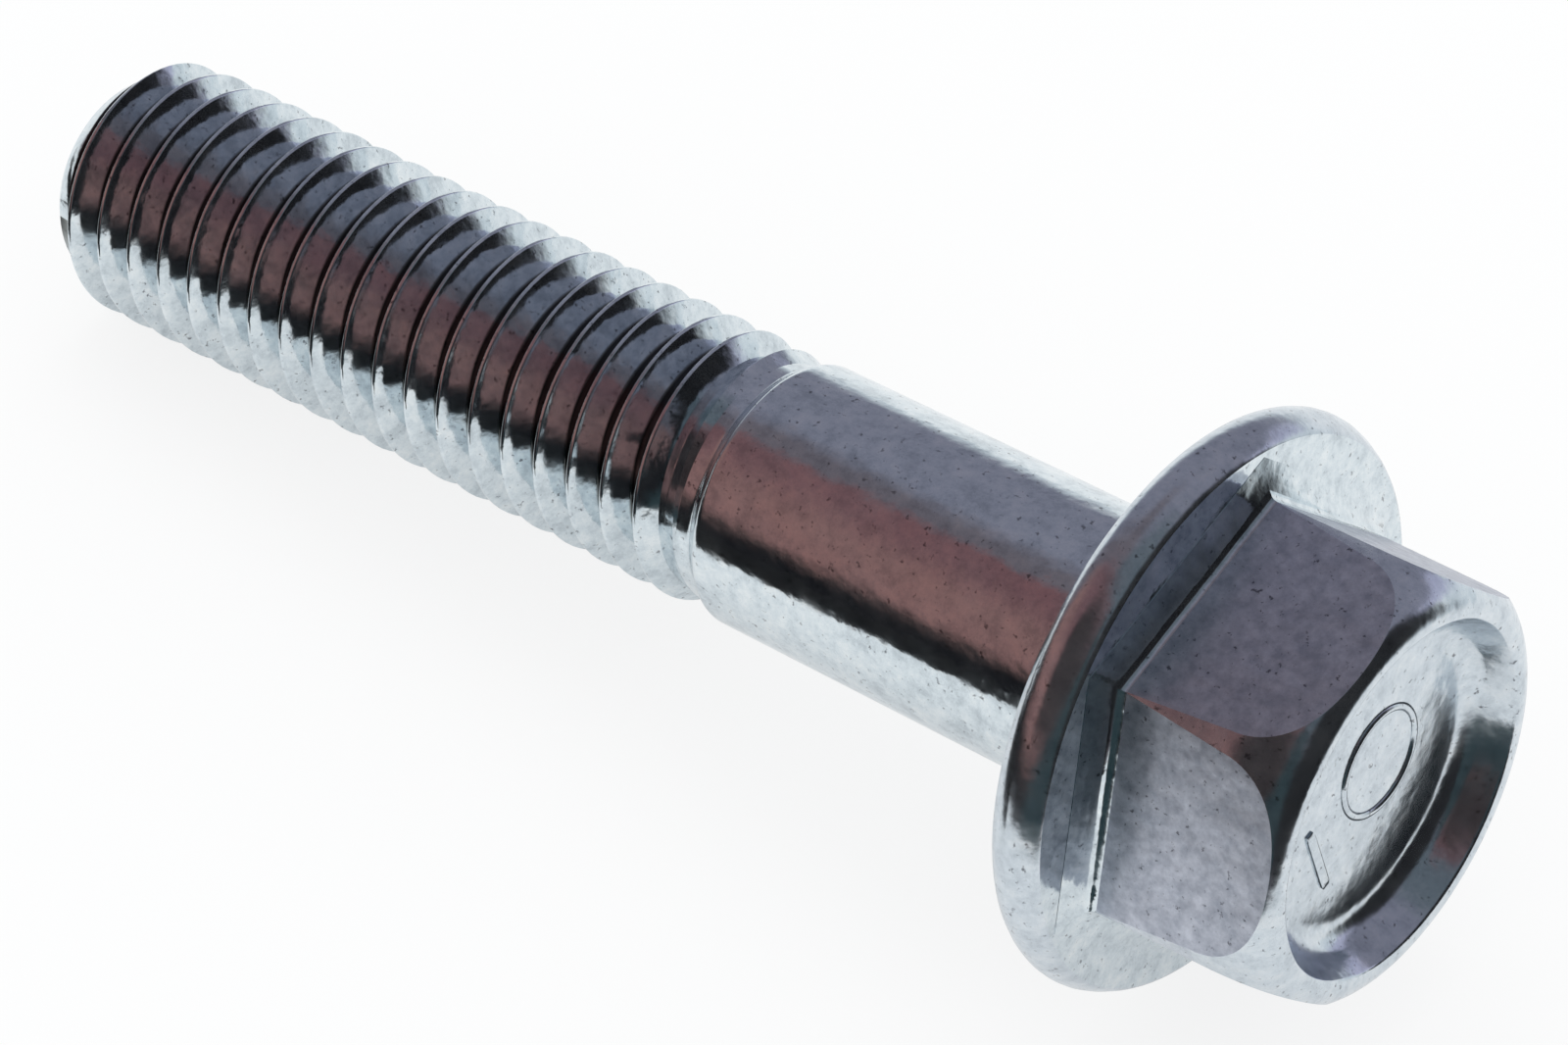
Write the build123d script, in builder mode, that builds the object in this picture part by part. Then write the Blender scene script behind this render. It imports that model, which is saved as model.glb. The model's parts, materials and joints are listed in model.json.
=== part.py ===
from build123d import *
import math
import os

# Flange bolt, M8 x 1.25, 40 mm under the flange, 12 mm hexagon, with a dished head.
# One cold-forged steel piece: flange, hexagon, shank and threaded end are a single solid.
# The thread is left at its outside form, as on a drawing: major diameter, chamfered point and
# the run-out at the neck. The bolt is modelled upright, with z = 0 at the bearing face and the
# head upwards, then laid down as it comes to rest: on the flange's rim and the edge of the
# point, with its axis leaning a few degrees up towards the head. Lengths are in millimetres.

# ---- driving sizes -------------------------------------------------------------------
nominal_diameter = 8.0          # major diameter of the thread, and the plain shank
pitch = 1.25                    # coarse pitch of M8, right hand
length = 40.0                   # bearing face to the end of the point
plain_length = 14.0             # bearing face to the end of the plain shank
neck_diameter = 7.3             # rolling blank left bare between thread and plain shank
neck_length = 0.95
neck_shoulder = 0.35            # length of the cone from neck to plain shank
crest_runout = 0.7              # length over which the thread's crests die away at the neck
point_relief = 0.18             # the flat end of the point is this far under the root
point_length = 1.15             # length of the point's chamfer

flange_diameter = 17.0
flange_thickness = 1.55         # bearing face to the upper edge of the rim
rim_edge_diameter = 16.3        # that upper edge
rim_back_diameter = 16.2        # outer edge of the bearing face
rim_bulge_height = 0.75         # where the rim is widest
under_head_radius = 0.4         # fillet between bearing face and shank

across_flats = 11.85
hexagon_turn = 14.2             # first corner, in degrees from +X
foot_width = 0.95               # hollow slope between flange and flats, mitred at the corners
foot_height = 0.45
foot_hollow = 1.4               # 1 would be a straight slope
foot_steps = 4

corner_diameter = 13.8          # turned outline that trims the corners, at the flange
shoulder_diameter = 13.35       # the same outline where the dome begins
shoulder_height = 5.2
head_height = 7.4               # bearing face to the crest of the rounded rim
crest_diameter = 10.9           # highest ring of the head
dish_mouth_diameter = 9.9       # dish wall carried up to the crest
dish_floor_diameter = 8.75      # dish wall carried down to the floor
dish_depth = 1.3
dish_corner_radius = 0.9        # between the dish's floor and wall
dish_lip_radius = 0.3           # between the dish's wall and the crest

# ---- sizes that follow ---------------------------------------------------------------
nominal_radius = nominal_diameter / 2
thread_depth = 0.6134 * pitch   # 17/24 of the height of the sharp 60 degree form
neck_radius = neck_diameter / 2
neck_start = -plain_length - neck_shoulder
thread_start = neck_start - neck_length
point_radius = nominal_radius - thread_depth - point_relief

# ---- hexagon -------------------------------------------------------------------------
# A hexagonal prism trimmed by a turned outline: slightly tapered corners, a domed top and a
# rounded rim that falls into the dish.
dish_floor = head_height - dish_depth

with BuildPart() as hexagon:
    with BuildSketch():
        RegularPolygon(across_flats / 2, 6, major_radius=False, rotation=hexagon_turn)
    extrude(amount=head_height)
    with BuildSketch(Plane.XZ):
        with BuildLine():
            FilletPolyline(
                (0, dish_floor),
                (dish_floor_diameter / 2, dish_floor),
                (dish_mouth_diameter / 2, head_height),
                (crest_diameter / 2, head_height),
                radius=[dish_corner_radius, dish_lip_radius],
            )
            EllipticalCenterArc(
                (crest_diameter / 2, shoulder_height),
                (shoulder_diameter - crest_diameter) / 2,
                head_height - shoulder_height,
                start_angle=0,
                arc_size=90,
            )
            Polyline(
                (shoulder_diameter / 2, shoulder_height),
                (corner_diameter / 2, 0),
                (0, 0),
                (0, dish_floor),
            )
        make_face()
    revolve(axis=Axis.Z, mode=Mode.INTERSECT)

# ---- foot of the hexagon -------------------------------------------------------------
# The hollow slope is lofted through hexagons that shrink quickly at first, then slowly.
with BuildPart() as foot:
    for step in range(foot_steps + 1):
        risen = step / foot_steps
        spread = foot_width * (1 - risen) ** foot_hollow
        with BuildSketch(Plane.XY.offset(flange_thickness + foot_height * risen)):
            RegularPolygon(
                across_flats / 2 + spread, 6, major_radius=False, rotation=hexagon_turn
            )
    loft(ruled=True)

# ---- upright bolt --------------------------------------------------------------------
# Flange, plain shank, neck and threaded end are turned in one outline, and the hexagon and
# its foot join it.
with BuildPart() as upright_bolt:
    with BuildSketch(Plane.XZ):
        with BuildLine():
            FilletPolyline(
                (nominal_radius, -plain_length),
                (nominal_radius, 0),
                (rim_back_diameter / 2, 0),
                radius=under_head_radius,
            )
            ThreePointArc(
                (rim_back_diameter / 2, 0),
                (flange_diameter / 2, rim_bulge_height),
                (rim_edge_diameter / 2, flange_thickness),
            )
            Polyline(
                (rim_edge_diameter / 2, flange_thickness),
                (0, flange_thickness),
                (0, -length),
                (point_radius, -length),
                (nominal_radius, -length + point_length),
                (nominal_radius, thread_start - crest_runout),
                (neck_radius, thread_start),
                (neck_radius, neck_start),
                (nominal_radius, -plain_length),
            )
        make_face()
    revolve(axis=Axis.Z)
    add(foot.part)
    add(hexagon.part)

# ---- lying bolt ----------------------------------------------------------------------
# The rim is an arc of a circle. The floor touches that circle and the edge where the point's
# chamfer begins, which gives the lean and the height of the bearing face's centre.
# The origin is on the floor, under the middle of the bolt's length.
rim_chord = math.hypot((rim_edge_diameter - rim_back_diameter) / 2, flange_thickness)
rim_sagitta = flange_diameter / 2 - (rim_edge_diameter + rim_back_diameter) / 4
rim_radius = rim_sagitta / 2 + rim_chord**2 / (8 * rim_sagitta)
edge_depth = length - point_length
rest_run = edge_depth + rim_bulge_height
rest_rise = flange_diameter / 2 - rim_radius - nominal_radius
lean = math.atan2(rest_rise, rest_run) + math.asin(rim_radius / math.hypot(rest_rise, rest_run))
bearing_height = edge_depth * math.sin(lean) + nominal_radius * math.cos(lean)
tail_reach = length * math.cos(lean) + point_radius * math.sin(lean)
head_reach = head_height * math.cos(lean) + crest_diameter / 2 * math.sin(lean)

resting = Plane(
    origin=((tail_reach - head_reach) / 2, 0, bearing_height),
    x_dir=(0, 1, 0),
    z_dir=(math.cos(lean), 0, math.sin(lean)),
)
with BuildPart() as flange_bolt:
    with Locations(resting.location):
        add(upright_bolt.part)

os.makedirs("parts", exist_ok=True)
flange_bolt.part.label = "flange_bolt"
export_step(flange_bolt.part, "parts/flange_bolt.step")
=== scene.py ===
import bmesh
import bpy
import json
import math
from mathutils import Matrix, Vector


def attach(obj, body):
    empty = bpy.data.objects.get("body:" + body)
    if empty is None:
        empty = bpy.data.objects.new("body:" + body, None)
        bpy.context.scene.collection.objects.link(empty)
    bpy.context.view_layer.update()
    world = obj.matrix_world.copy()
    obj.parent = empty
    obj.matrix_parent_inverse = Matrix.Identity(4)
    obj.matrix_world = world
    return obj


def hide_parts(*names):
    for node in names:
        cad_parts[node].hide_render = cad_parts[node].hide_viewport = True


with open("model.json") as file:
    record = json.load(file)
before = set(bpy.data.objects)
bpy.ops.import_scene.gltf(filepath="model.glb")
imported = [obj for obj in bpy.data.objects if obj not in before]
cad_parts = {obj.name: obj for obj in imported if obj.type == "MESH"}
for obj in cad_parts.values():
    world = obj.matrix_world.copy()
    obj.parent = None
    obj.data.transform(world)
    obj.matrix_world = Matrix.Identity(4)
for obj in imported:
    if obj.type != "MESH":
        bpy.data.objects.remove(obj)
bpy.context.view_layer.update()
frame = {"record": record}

# ---- How the bolt lies ---------------------------------------------------------------
# A loose bolt rests on its flange's rim and the end of its thread, so its axis leans up
# towards the head. The bolt is shaped upright, in millimetres, with z = 0 at the bearing
# face and the head upwards, and laid down last on the axis of the shank's mount.
MM = 0.001
shank = next(m for m in frame["record"]["mounts"] if m["name"] == "shank")
shank_depth = 7.0
towards_head = -Vector(shank["axis"]).normalized()
across = Vector((0, 1, 0))
upper_side = towards_head.cross(across)
bearing_centre = Vector(shank["pos_m"]) + towards_head * shank_depth * MM
lay_down = Matrix.Translation(bearing_centre) @ Matrix(
    (
        (across.x, upper_side.x, towards_head.x, 0),
        (across.y, upper_side.y, towards_head.y, 0),
        (across.z, upper_side.z, towards_head.z, 0),
        (0, 0, 0, 1),
    )
) @ Matrix.Scale(MM, 4)


# ---- Hexagon with its dome and dish --------------------------------------------------
# The head is upset from the wire in dies: a turned form with a domed top, a rounded rim and
# a dish. Six flats are pressed on it for a 12 mm spanner, and their edges are soft.
def turn(bm, outline, steps):
    """Turns an outline of (radius, height) points about the z axis into a closed skin."""
    points = [bm.verts.new((radius, 0, height)) for radius, height in outline]
    edges = [bm.edges.new(pair) for pair in zip(points, points[1:])]
    bmesh.ops.spin(
        bm,
        geom=points + edges,
        cent=(0, 0, 0),
        axis=(0, 0, 1),
        dvec=(0, 0, 0),
        angle=2 * math.pi,
        steps=steps,
        use_merge=True,
        use_duplicate=False,
    )
    bmesh.ops.remove_doubles(bm, verts=bm.verts, dist=0.0005)
    bmesh.ops.recalc_face_normals(bm, faces=bm.faces)


def arc(centre, radii, start, end, steps):
    """Points on an ellipse about a centre, with start and end in degrees."""
    points = []
    for step in range(steps + 1):
        angle = math.radians(start + (end - start) * step / steps)
        points.append(
            (centre[0] + radii[0] * math.cos(angle), centre[1] + radii[1] * math.sin(angle))
        )
    return points


def cut_off(bm, point, outwards):
    """Cuts away what lies outwards of a plane through a point. Gives the edges of the cut."""
    cut = bmesh.ops.bisect_plane(
        bm,
        geom=bm.verts[:] + bm.edges[:] + bm.faces[:],
        plane_co=point,
        plane_no=outwards,
        clear_outer=True,
    )
    return [e for e in cut["geom_cut"] if isinstance(e, bmesh.types.BMEdge)]


across_flats = 11.85
hexagon_turn = 14.2
head_height = 7.4
head_bottom = 0.9
crest_radius = 5.45
shoulder = (6.675, 5.2)
corner_radius = 6.9
dish_floor = 6.1
dish_middle_radius = 2.0
dish_floor_radius = 4.07
dish_corner_radius = 0.9
dish_wall_angle = 66.1
lip_radius = 0.15
lip_centre = (5.33, head_height - lip_radius)
turning_steps = 240
flat_least_area = 5.0
flat_edge_turn = math.radians(4)
flat_edge_rounding = 0.10

head = bmesh.new()
head_outline = [(0, dish_floor), (dish_middle_radius, dish_floor)]
head_outline += arc(
    (dish_floor_radius, dish_floor + dish_corner_radius),
    (dish_corner_radius, dish_corner_radius),
    -90,
    -90 + dish_wall_angle,
    12,
)
head_outline += arc(lip_centre, (lip_radius, lip_radius), 90 + dish_wall_angle, 90, 6)
head_outline += arc(
    (crest_radius, shoulder[1]),
    (shoulder[0] - crest_radius, head_height - shoulder[1]),
    90,
    0,
    20,
)
head_outline += [(corner_radius, head_bottom), (0, head_bottom)]
turn(head, head_outline, turning_steps)
for flat in range(6):
    flat_turn = math.radians(hexagon_turn + 30 + 60 * flat)
    outwards = Vector((math.cos(flat_turn), math.sin(flat_turn), 0))
    flat_outline = cut_off(head, outwards * across_flats / 2, outwards)
    bmesh.ops.edgeloop_fill(head, edges=flat_outline)
bmesh.ops.remove_doubles(head, verts=head.verts, dist=0.0005)
bmesh.ops.recalc_face_normals(head, faces=head.faces)
flats = [f for f in head.faces if f.calc_area() > flat_least_area and abs(f.normal.z) < 0.1]
flat_edges = [e for f in flats for e in f.edges if e.calc_face_angle(0) > flat_edge_turn]
bmesh.ops.bevel(
    head,
    geom=list(dict.fromkeys(flat_edges)),
    affect="EDGES",
    offset=flat_edge_rounding,
    offset_type="OFFSET",
    segments=3,
    profile=0.5,
    material=-1,
    clamp_overlap=True,
)

# ---- Marks in the dish ---------------------------------------------------------------
# A plain ring and a plain bar stand a little proud of the dish's floor. They are of the same
# steel, and come from hollows in the die that forms the head.
ring_radius = 1.6
ring_section = (0.13, 0.11)
ring_sunk = 0.03
ring_place = (0.69, 0.2, 0)
ring_steps = 96
bar_size = (0.34, 2.5, 0.2)
bar_rounding = 0.15
bar_turn = Matrix.Rotation(math.radians(14), 3, "Z")
bar_sunk = 0.02
bar_place = (-2.18, -1.13, dish_floor - bar_sunk)

marks = bmesh.new()
ring_outline = arc((ring_radius, dish_floor - ring_sunk), ring_section, 180, 0, 8)
turn(marks, ring_outline + ring_outline[:1], ring_steps)
bmesh.ops.translate(marks, vec=ring_place, verts=marks.verts)
block = bmesh.ops.create_cube(marks, size=1)["verts"]
block_edges = [e for v in block for e in v.link_edges]
bar = bmesh.ops.bevel(
    marks,
    geom=list(dict.fromkeys(block_edges)),
    affect="EDGES",
    offset=bar_rounding,
    segments=3,
    profile=0.5,
    material=-1,
)["verts"]
bmesh.ops.scale(marks, vec=bar_size, verts=bar)
bmesh.ops.rotate(marks, matrix=bar_turn, verts=bar)
bmesh.ops.translate(marks, vec=bar_place, verts=bar)

# ---- Foot of the hexagon -------------------------------------------------------------
# Between the flats and the flange the steel fills a hollow slope. It is mitred at the six
# corners, so a crease runs out over the flange from each of them.
foot_outline = [
    (0.95, 1.45),
    (0.95, 1.56),
    (0.68, 1.63),
    (0.44, 1.72),
    (0.22, 1.84),
    (0.07, 1.95),
    (0.02, 2.02),
    (-0.005, 2.16),
]
foot_spread, foot_bottom = foot_outline[0]

foot = bmesh.new()
bmesh.ops.create_circle(
    foot,
    cap_ends=True,
    segments=6,
    radius=(across_flats / 2 + foot_spread) / math.cos(math.radians(30)),
    matrix=Matrix.Translation((0, 0, foot_bottom))
    @ Matrix.Rotation(math.radians(hexagon_turn - 30), 4, "Z"),
)
top_edges = foot.edges[:]
for (spread, height), (next_spread, next_height) in zip(foot_outline, foot_outline[1:]):
    raised = bmesh.ops.extrude_edge_only(foot, edges=top_edges)["geom"]
    corners = [v for v in raised if isinstance(v, bmesh.types.BMVert)]
    top_edges = [e for e in raised if isinstance(e, bmesh.types.BMEdge)]
    growth = (across_flats / 2 + next_spread) / (across_flats / 2 + spread)
    bmesh.ops.scale(foot, vec=(growth, growth, 1), verts=corners)
    bmesh.ops.translate(foot, vec=(0, 0, next_height - height), verts=corners)
bmesh.ops.edgeloop_fill(foot, edges=top_edges)
bmesh.ops.recalc_face_normals(foot, faces=foot.faces)


# ---- Flange, plain shank and neck ----------------------------------------------------
# All turned about one axis: a flange with a bulging rim, a fillet under it, the plain shank
# at full diameter, and the thinner blank that the thread rolling left bare.
def rounded_outline(corners, steps):
    """An outline through (radius, height, rounding) corners, with a close point by each arc."""
    points = [Vector(corners[0][:2])]
    for before, corner, after in zip(corners, corners[1:], corners[2:]):
        here = Vector(corner[:2])
        rounding = corner[2]
        back = (Vector(before[:2]) - here).normalized()
        on = (Vector(after[:2]) - here).normalized()
        half = back.angle(on) / 2
        reach = rounding / math.tan(half)
        middle = here + (back + on).normalized() * rounding / math.sin(half)
        start = here + back * reach - middle
        turn_by = (here + on * reach - middle).angle_signed(start)
        points.append(here + back * (reach + 0.2 * rounding))
        for step in range(steps + 1):
            angle = turn_by * step / steps
            points.append(middle + Matrix.Rotation(angle, 2) @ start)
        points.append(here + on * (reach + 0.2 * rounding))
    points.append(Vector(corners[-1][:2]))
    return [(point.x, point.y) for point in points]


flange_top = 1.55
rim_inner_radius = 7.9
bearing_radius = 4.5
under_head_radius = 0.4
shank_radius = 4.0
shank_end = -13.95
shank_end_rounding = 0.35
neck_radius = 3.65
neck_start = -14.35
neck_rounding = 0.3
thread_top = -14.85
core_radius = 3.35
core_end = -15.25
rim_outline = [(8.1, 1.55), (8.17, 1.51), (8.27, 1.38), (8.40, 1.13), (8.48, 0.90), (8.5, 0.72)]
rim_outline += [(8.48, 0.52), (8.41, 0.32), (8.30, 0.14), (8.20, 0.04), (8.05, 0.0)]

flange = bmesh.new()
flange_outline = [(0, flange_top), (rim_inner_radius, flange_top)]
flange_outline += rim_outline + [(bearing_radius, 0)]
flange_outline += arc(
    (shank_radius + under_head_radius, -under_head_radius),
    (under_head_radius, under_head_radius),
    90,
    180,
    6,
)
flange_outline += [(shank_radius, -2), (shank_radius, -6), (shank_radius, -10)]
flange_outline += rounded_outline(
    [
        (shank_radius, -12, 0),
        (shank_radius, shank_end, shank_end_rounding),
        (neck_radius, neck_start, neck_rounding),
        (neck_radius, thread_top, 0),
    ],
    5,
)
flange_outline += [(core_radius, core_end), (0, core_end)]
turn(flange, flange_outline, turning_steps)

# ---- Thread --------------------------------------------------------------------------
# Coarse right-hand M8 thread, rolled between dies: 60 degree flanks, a narrow rounded crest
# and a rounded root. The grooves run out at the neck, and the point is chamfered.
pitch = 1.25
length = 40.0
crest = 4.0
root = 3.233
crest_flat = 0.104
root_flat = 0.263
groove_rounding = 0.05
crest_runout = 0.7
root_runout = 2.0
point_radius = 3.05
point_length = 1.15
end_face_height = 0.2
thread_steps = 72
thread_turns = 22
first_crest = 1.74
turns_past_point = 2.75
thread_start = -length + first_crest - turns_past_point * pitch
groove = [
    (crest, 0, 0),
    (crest, crest_flat / 2, groove_rounding),
    (root, (pitch - root_flat) / 2, groove_rounding),
    (root, (pitch + root_flat) / 2, groove_rounding),
    (crest, pitch - crest_flat / 2, groove_rounding),
    (crest, pitch, 0),
]

thread = bmesh.new()
groove_points = [
    thread.verts.new((radius, 0, thread_start + height))
    for radius, height in rounded_outline(groove, 5)
]
groove_edges = [thread.edges.new(pair) for pair in zip(groove_points, groove_points[1:])]
bmesh.ops.spin(
    thread,
    geom=groove_points + groove_edges,
    cent=(0, 0, 0),
    axis=(0, 0, 1),
    dvec=(0, 0, pitch / thread_steps),
    angle=2 * math.pi,
    steps=thread_steps,
    use_merge=False,
    use_duplicate=False,
)
one_turn = thread.verts[:] + thread.edges[:] + thread.faces[:]
for turns_up in range(1, thread_turns):
    copied = bmesh.ops.duplicate(thread, geom=one_turn)["geom"]
    verts = [v for v in copied if isinstance(v, bmesh.types.BMVert)]
    bmesh.ops.translate(thread, vec=(0, 0, turns_up * pitch), verts=verts)
bmesh.ops.remove_doubles(thread, verts=thread.verts, dist=0.002)
for end, side in ((-length, -1), (thread_top, 1)):
    end_outline = cut_off(thread, (0, 0, end), (0, 0, side))
    bmesh.ops.edgeloop_fill(thread, edges=end_outline)
for vert in thread.verts:
    radius = math.hypot(vert.co.x, vert.co.y)
    from_point = vert.co.z + length
    from_neck = thread_top - vert.co.z
    chamfer = point_radius + (crest - point_radius) * from_point / point_length
    crests = neck_radius + (crest - neck_radius) * from_neck / crest_runout
    roots = neck_radius - (neck_radius - root) * from_neck / root_runout
    wanted = max(min(radius, chamfer, crests), min(roots, neck_radius, chamfer))
    vert.co.x *= wanted / radius
    vert.co.y *= wanted / radius
bmesh.ops.recalc_face_normals(thread, faces=thread.faces)
# Depth into the groove, which drives the painted shade that darkens the roots of the thread.
root_shade = thread.verts.layers.float.new("root_shade")
for vert in thread.verts:
    if vert.co.z > end_face_height - length:
        depth = crest - math.hypot(vert.co.x, vert.co.y)
        vert[root_shade] = min(1.0, max(0.0, depth / (crest - root)))

# ---- Zinc plating --------------------------------------------------------------------
# Bright zinc over rolled and forged steel: smooth and slightly blue, with soft dents, fine
# pits and dark specks, and painted shade that darkens the roots of the thread. The die scraped
# the six flats, and they are duller.
zinc = bpy.data.materials.new("zinc_steel")
zinc.use_nodes = True
nodes = zinc.node_tree.nodes
links = zinc.node_tree.links
skin = nodes["Principled BSDF"]
skin.inputs["Metallic"].default_value = 1.0
place = nodes.new("ShaderNodeTexCoord")
scraped = nodes.new("ShaderNodeAttribute")
scraped.attribute_name = "scraped"
root_shade_input = nodes.new("ShaderNodeAttribute")
root_shade_input.attribute_name = "root_shade"


def noise(waves_per_mm, detail, roughness):
    """A noise texture on object coordinates."""
    texture = nodes.new("ShaderNodeTexNoise")
    texture.inputs["Scale"].default_value = waves_per_mm / MM
    texture.inputs["Detail"].default_value = detail
    texture.inputs["Roughness"].default_value = roughness
    links.new(place.outputs["Object"], texture.inputs["Vector"])
    return texture.outputs["Fac"]


def ramp(value, stops):
    """A ramp from (position, colour) stops, lowest first. A plain number is a grey."""
    node = nodes.new("ShaderNodeValToRGB")
    elements = node.color_ramp.elements
    for index, (position, colour) in enumerate(stops):
        element = elements[index] if index < 2 else elements.new(position)
        element.position = position
        element.color = (*(colour if isinstance(colour, tuple) else (colour,) * 3), 1)
    links.new(value, node.inputs["Fac"])
    return node.outputs["Color"]


def mix(factor, first, second, blend="MIX"):
    """A mix of two colours, by a socket or a plain factor."""
    node = nodes.new("ShaderNodeMix")
    node.data_type = "RGBA"
    node.blend_type = blend
    if isinstance(factor, bpy.types.NodeSocket):
        links.new(factor, node.inputs["Factor"])
    else:
        node.inputs["Factor"].default_value = factor
    links.new(first, node.inputs["A"])
    links.new(second, node.inputs["B"])
    return node.outputs["Result"]


zinc_shade = (0.50, 0.56, 0.60)
zinc_middle = (0.66, 0.73, 0.77)
zinc_light = (0.78, 0.83, 0.85)
flat_shade = (0.36, 0.39, 0.46)
flat_light = (0.57, 0.60, 0.68)
speck = (0.12, 0.11, 0.12)
root_shade_colour = (0.30, 0.29, 0.27)
speck_strength = 0.75
dent_strength = 0.6
clouds = ramp(noise(1.4, 8.0, 0.75), [(0.35, zinc_shade), (0.5, zinc_middle), (0.65, zinc_light)])
grazed = ramp(noise(2.2, 6.0, 0.7), [(0.35, flat_shade), (0.65, flat_light)])
metal = mix(scraped.outputs["Fac"], clouds, grazed)
specks = ramp(noise(5.0, 3.0, 0.6), [(0.29, speck), (0.37, 1.0)])
speckled = mix(speck_strength, metal, specks, "MULTIPLY")
# Painted shade: each root of the thread gets darker with depth, near black at its deepest.
root_shading = ramp(root_shade_input.outputs["Fac"], [(0.0, 1.0), (0.90, 0.95), (0.97, root_shade_colour), (1.0, 0.05)])
links.new(mix(1.0, speckled, root_shading, "MULTIPLY"), skin.inputs["Base Color"])
satin = ramp(noise(0.8, 6.0, 0.55), [(0.3, 0.07), (0.7, 0.16)])
dull = ramp(noise(3.0, 6.0, 0.55), [(0.3, 0.33), (0.7, 0.43)])
links.new(mix(scraped.outputs["Fac"], satin, dull), skin.inputs["Roughness"])
for dents_per_mm, dent_depth in ((0.9, 0.05), (3.0, 0.012)):
    dents = nodes.new("ShaderNodeBump")
    dents.inputs["Strength"].default_value = dent_strength
    dents.inputs["Distance"].default_value = dent_depth * MM
    links.new(noise(dents_per_mm, 2.0, 0.4), dents.inputs["Height"])
    if skin.inputs["Normal"].is_linked:
        links.new(skin.inputs["Normal"].links[0].from_socket, dents.inputs["Normal"])
    links.new(dents.outputs["Normal"], skin.inputs["Normal"])

# ---- Whole bolt ----------------------------------------------------------------------
# The forms are one piece of steel, so they become one mesh. The flats have the full scraped
# finish, and the rim, the dome and the corners between the flats have a part of it.
rim_inside = 8.0
corner_inside = 6.0
corner_bottom = 2.4
dome_bottom = 5.1
finish_of_flats = 1.0
finish_of_rim = 0.3
finish_of_corners = 0.5
finish_of_dome = 0.25
sharp_edge = math.radians(28)

joined = bmesh.new()
for form in (head, marks, foot, flange, thread):
    part = bpy.data.meshes.new("form")
    form.to_mesh(part)
    joined.from_mesh(part)
    form.free()
    bpy.data.meshes.remove(part)
finish = joined.faces.layers.float.new("scraped")
for face in joined.faces:
    middle = face.calc_center_median()
    from_axis = math.hypot(middle.x, middle.y)
    if face.calc_area() > flat_least_area and abs(face.normal.z) < 0.02:
        face[finish] = finish_of_flats
    elif from_axis > rim_inside:
        face[finish] = finish_of_rim
    elif corner_bottom < middle.z < dome_bottom and from_axis > corner_inside:
        face[finish] = finish_of_corners
    elif middle.z >= dome_bottom:
        face[finish] = finish_of_dome
bmesh.ops.transform(joined, matrix=lay_down, verts=joined.verts)
whole = bpy.data.meshes.new("bolt")
joined.to_mesh(whole)
joined.free()
whole.shade_smooth()
whole.set_sharp_from_angle(angle=sharp_edge)
whole.materials.append(zinc)
bolt = bpy.data.objects.new("bolt", whole)
bpy.context.scene.collection.objects.link(bolt)
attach(bolt, "root")
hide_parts("flange_bolt")


# ---- Paper and black card ------------------------------------------------------------
# The bolt lies on a sheet of white paper, which shows white and keeps its shadow. A piece of
# black card beside the shank is seen only in the metal, as the dark line low on its side.
def lay_sheet(name, size, centre, cuts, material):
    """Lays a flat sheet down, cut off outwards of (point, outwards) lines, and links it into the
    scene.
    """
    form = bmesh.new()
    bmesh.ops.create_grid(form, x_segments=1, y_segments=1, size=0.5)
    bmesh.ops.scale(form, vec=(*size, 1), verts=form.verts)
    bmesh.ops.translate(form, vec=centre, verts=form.verts)
    for point, outwards in cuts:
        cut_off(form, point, outwards)
    mesh = bpy.data.meshes.new(name)
    form.to_mesh(mesh)
    form.free()
    mesh.materials.append(material)
    sheet = bpy.data.objects.new(name, mesh)
    bpy.context.scene.collection.objects.link(sheet)
    return sheet


paper = bpy.data.materials.new("paper")
paper.use_nodes = True
paper_nodes = paper.node_tree.nodes
paper_links = paper.node_tree.links
paper_skin = paper_nodes["Principled BSDF"]
paper_skin.inputs["Base Color"].default_value = (0.84, 0.86, 0.87, 1)
paper_skin.inputs["Roughness"].default_value = 0.9
paper_skin.inputs["Specular IOR Level"].default_value = 0.1
white = paper_nodes.new("ShaderNodeEmission")
paper_path = paper_nodes.new("ShaderNodeLightPath")
mirrored_white = paper_nodes.new("ShaderNodeMath")
mirrored_white.operation = "MULTIPLY"
mirrored_white.inputs[1].default_value = 0.5
shown_white = paper_nodes.new("ShaderNodeMath")
shown_white.operation = "MULTIPLY_ADD"
shown_white.inputs[1].default_value = 0.82
paper_mix = paper_nodes.new("ShaderNodeMixShader")
paper_links.new(paper_path.outputs["Is Glossy Ray"], mirrored_white.inputs[0])
paper_links.new(paper_path.outputs["Is Camera Ray"], shown_white.inputs[0])
paper_links.new(mirrored_white.outputs["Value"], shown_white.inputs[2])
paper_links.new(shown_white.outputs["Value"], paper_mix.inputs["Fac"])
paper_links.new(paper_skin.outputs["BSDF"], paper_mix.inputs[1])
paper_links.new(white.outputs["Emission"], paper_mix.inputs[2])
paper_links.new(paper_mix.outputs["Shader"], paper_nodes["Material Output"].inputs["Surface"])
paper_size = Vector((0.24, 0.36))
near_corner = Vector((0.042, -0.041))
paper_middle = near_corner + Vector((-paper_size.x, paper_size.y)) / 2
paper_cut = ((0.018, near_corner.y, 0), (0.8, -0.6, 0))
lay_sheet("floor", paper_size, (*paper_middle, 0), [paper_cut], paper)

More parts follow.
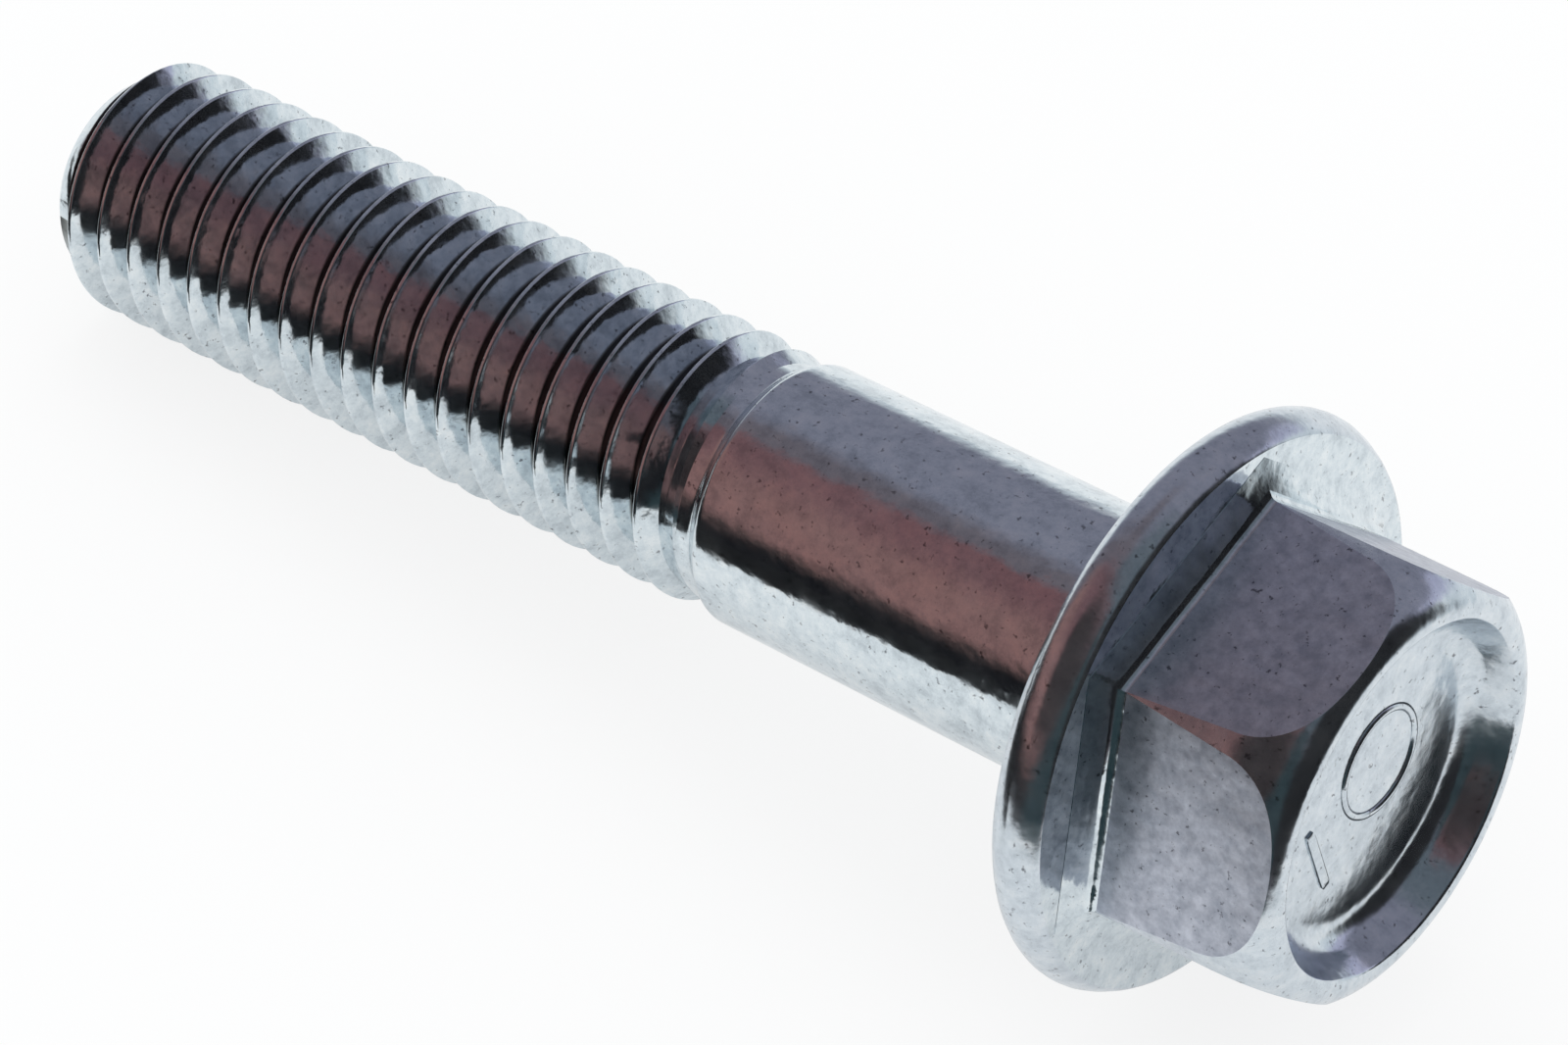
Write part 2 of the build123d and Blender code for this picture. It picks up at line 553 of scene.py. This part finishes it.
card_black = bpy.data.materials.new("card_black")
card_black.use_nodes = True
card_skin = card_black.node_tree.nodes["Principled BSDF"]
card_skin.inputs["Base Color"].default_value = (0.012, 0.012, 0.013, 1)
card_skin.inputs["Roughness"].default_value = 0.9
card_skin.inputs["Specular IOR Level"].default_value = 0.0
card_size = (0.08, 0.05)
card_middle = (-0.03, -0.025, 0.0002)
shank_side = ((-0.0012, -0.0207, 0), (0.294, 1, 0))
head_side = ((0.0060, -0.0227, 0), (0.845, -0.535, 0))
card = lay_sheet("card", card_size, card_middle, [shank_side, head_side], card_black)
card.visible_camera = False
card.visible_diffuse = False
card.visible_shadow = False

# ---- Room and lamp -------------------------------------------------------------------
# The room lights the bolt evenly from all round. The metal mirrors it as pale walls behind, a
# grey-violet ceiling, a brown wall in front and a dark end past the head. A soft lamp hangs
# overhead.
room = bpy.data.worlds.new("room")
bpy.context.scene.world = room
room.use_nodes = True
room_nodes = room.node_tree.nodes
room_links = room.node_tree.links
direction = room_nodes.new("ShaderNodeTexCoord").outputs["Generated"]
parts = room_nodes.new("ShaderNodeSeparateXYZ")
room_links.new(direction, parts.inputs["Vector"])
rise = parts.outputs["Z"]


def room_ramp(value, stops):
    """A ramp over a value from -1 to 1, from (value, colour) stops, lowest first."""
    spread = room_nodes.new("ShaderNodeMath")
    spread.operation = "MULTIPLY_ADD"
    spread.inputs[1].default_value = 0.5
    spread.inputs[2].default_value = 0.5
    room_links.new(value, spread.inputs[0])
    node = room_nodes.new("ShaderNodeValToRGB")
    elements = node.color_ramp.elements
    for index, (stop, colour) in enumerate(stops):
        position = 0.5 + 0.5 * stop
        element = elements[index] if index < 2 else elements.new(position)
        element.position = position
        element.color = (*colour, 1)
    room_links.new(spread.outputs["Value"], node.inputs["Fac"])
    return node.outputs["Color"]


def room_mix(factor, first, second):
    """A mix of two of the room's colours."""
    node = room_nodes.new("ShaderNodeMix")
    node.data_type = "RGBA"
    for name, value in (("Factor", factor), ("A", first), ("B", second)):
        if isinstance(value, bpy.types.NodeSocket):
            room_links.new(value, node.inputs[name])
        else:
            node.inputs[name].default_value = (*value, 1)
    return node.outputs["Result"]


def facing(towards, faint, full):
    """How far a direction faces a side of the room: 0 at one cosine, 1 at the other."""
    cosine = room_nodes.new("ShaderNodeVectorMath")
    cosine.operation = "DOT_PRODUCT"
    cosine.inputs[1].default_value = Vector(towards).normalized()
    room_links.new(direction, cosine.inputs[0])
    return room_ramp(cosine.outputs["Value"], [(faint, (0, 0, 0)), (full, (1, 1, 1))])


pale = (0.80, 0.85, 0.88)
black = (0.010, 0.010, 0.012)
soot = (0.035, 0.025, 0.026)
violet = (0.227, 0.225, 0.285)
slate = (0.150, 0.128, 0.150)
deep_slate = (0.115, 0.140, 0.165)
lilac = (0.55, 0.54, 0.70)
brown = (0.275, 0.142, 0.133)
red_brown = (0.19, 0.092, 0.100)
umber = (0.07, 0.045, 0.043)
teal = (0.025, 0.045, 0.052)
head_end = (1, 0, 0)
low_at_head_end = (1, 0, -0.4)
in_front = (-0.15, -1, 0)
past_the_dish = (0.93, 0.20, 0.10)
overhead = (0.47, -0.12, 0.87)
high_in_front = (0.10, -0.75, 0.65)
back_wall = room_ramp(rise, [(-0.05, pale), (0.15, violet), (0.85, violet), (0.95, slate)])
back_corner = room_ramp(rise, [(0.05, pale), (0.15, lilac), (0.28, lilac), (0.36, violet)])
back_wall = room_mix(facing(head_end, -0.10, 0.05), back_wall, back_corner)
front_wall = room_ramp(
    rise, [(-0.06, black), (0.04, umber), (0.18, brown), (0.50, brown), (0.74, red_brown)]
)
front_wall = room_mix(facing(low_at_head_end, 0.10, 0.30), front_wall, teal)
mirrored = back_wall
for towards, faint, full, colour in (
    (in_front, -0.14, 0.06, slate),
    (overhead, 0.86, 0.95, deep_slate),
    (in_front, 0.17, 0.28, front_wall),
    (past_the_dish, 0.70, 0.80, black),
    (high_in_front, 0.84, 0.93, soot),
):
    mirrored = room_mix(facing(towards, faint, full), mirrored, colour)
path = room_nodes.new("ShaderNodeLightPath")
shown = room_mix(path.outputs["Is Glossy Ray"], (1, 1, 1), mirrored)
room_links.new(shown, room_nodes["Background"].inputs["Color"])
room_nodes["Background"].inputs["Strength"].default_value = 1.0

softbox_data = bpy.data.lights.new("softbox", "AREA")
softbox_data.shape = "DISK"
softbox_data.size = 0.5
softbox_data.energy = 1.0
softbox = bpy.data.objects.new("softbox", softbox_data)
softbox.location = (-0.15, 0.25, 0.7)
softbox.rotation_euler = (-softbox.location).to_track_quat("-Z", "Y").to_euler()
softbox.visible_glossy = False
bpy.context.scene.collection.objects.link(softbox)

# ---- Camera --------------------------------------------------------------------------
# A long lens looks down on the bolt from the head's side, so that the dish, two flats and the
# whole length of the thread are in view.
looks_down = 46.32
turned_left = 39.64
camera_data = bpy.data.cameras.new("camera")
camera_data.lens = 135.44
camera_data.sensor_width = 36.0
camera_data.clip_start = 0.01
camera = bpy.data.objects.new("camera", camera_data)
camera.location = (0.07591, -0.08900, 0.12670)
camera.rotation_euler = (math.radians(90 - looks_down), 0, math.radians(turned_left))
bpy.context.scene.collection.objects.link(camera)
bpy.context.scene.camera = camera
bpy.context.scene.view_settings.view_transform = "Standard"
